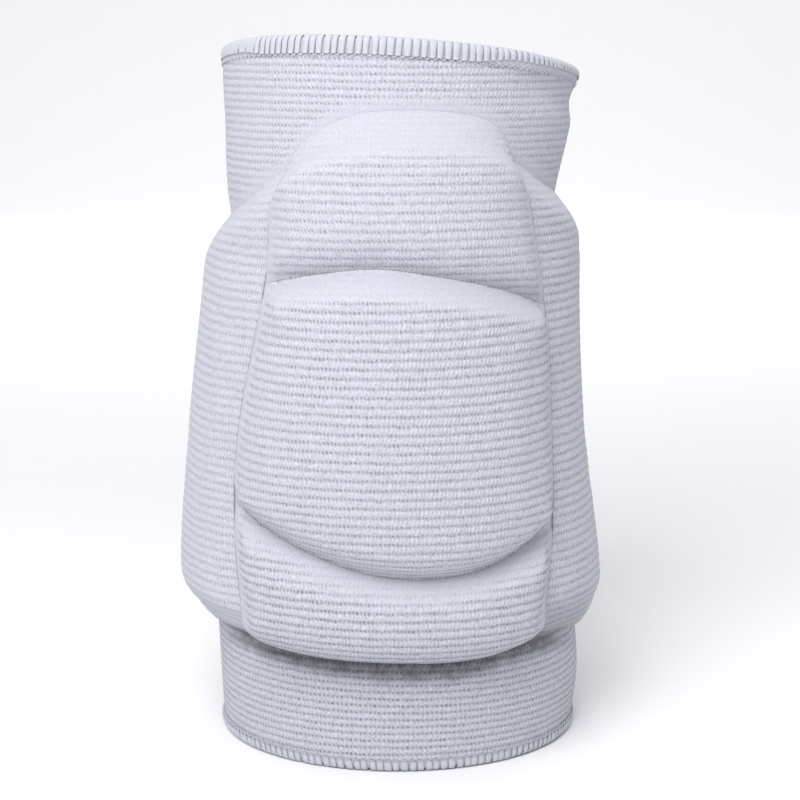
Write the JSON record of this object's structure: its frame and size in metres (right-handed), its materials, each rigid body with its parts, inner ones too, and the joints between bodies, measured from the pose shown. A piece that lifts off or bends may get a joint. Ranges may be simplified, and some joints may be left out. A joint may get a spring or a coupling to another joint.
{
  "type": "elbow pad",
  "caption": "White ribbed-knit sleeve open at both ends, with overlocked hems and foam pads sewn over its front and sides to cushion the elbow.",
  "frame": {"origin": "under the middle of the whole, at the lower hem's edge", "axes": "+Z along the arm towards the upper hem, -Y out of the padded front, +X to the right as seen from the front"},
  "size_m": [0.125, 0.1034, 0.2061],
  "materials": {
    "ribbed_knit": "matt white elastic rib knit",
    "padded_knit": "the same rib knit stretched over foam",
    "overlock_thread": "soft white overlock thread"
  },
  "bodies": {
    "root": {"knit_sleeve": "ribbed_knit", "lower_hem": "overlock_thread", "upper_hem": "overlock_thread", "upper_pad": "padded_knit", "middle_pad": "padded_knit", "lower_pad": "padded_knit", "left_side_pad": "padded_knit", "right_side_pad": "padded_knit"}
  },
  "joints": []
}
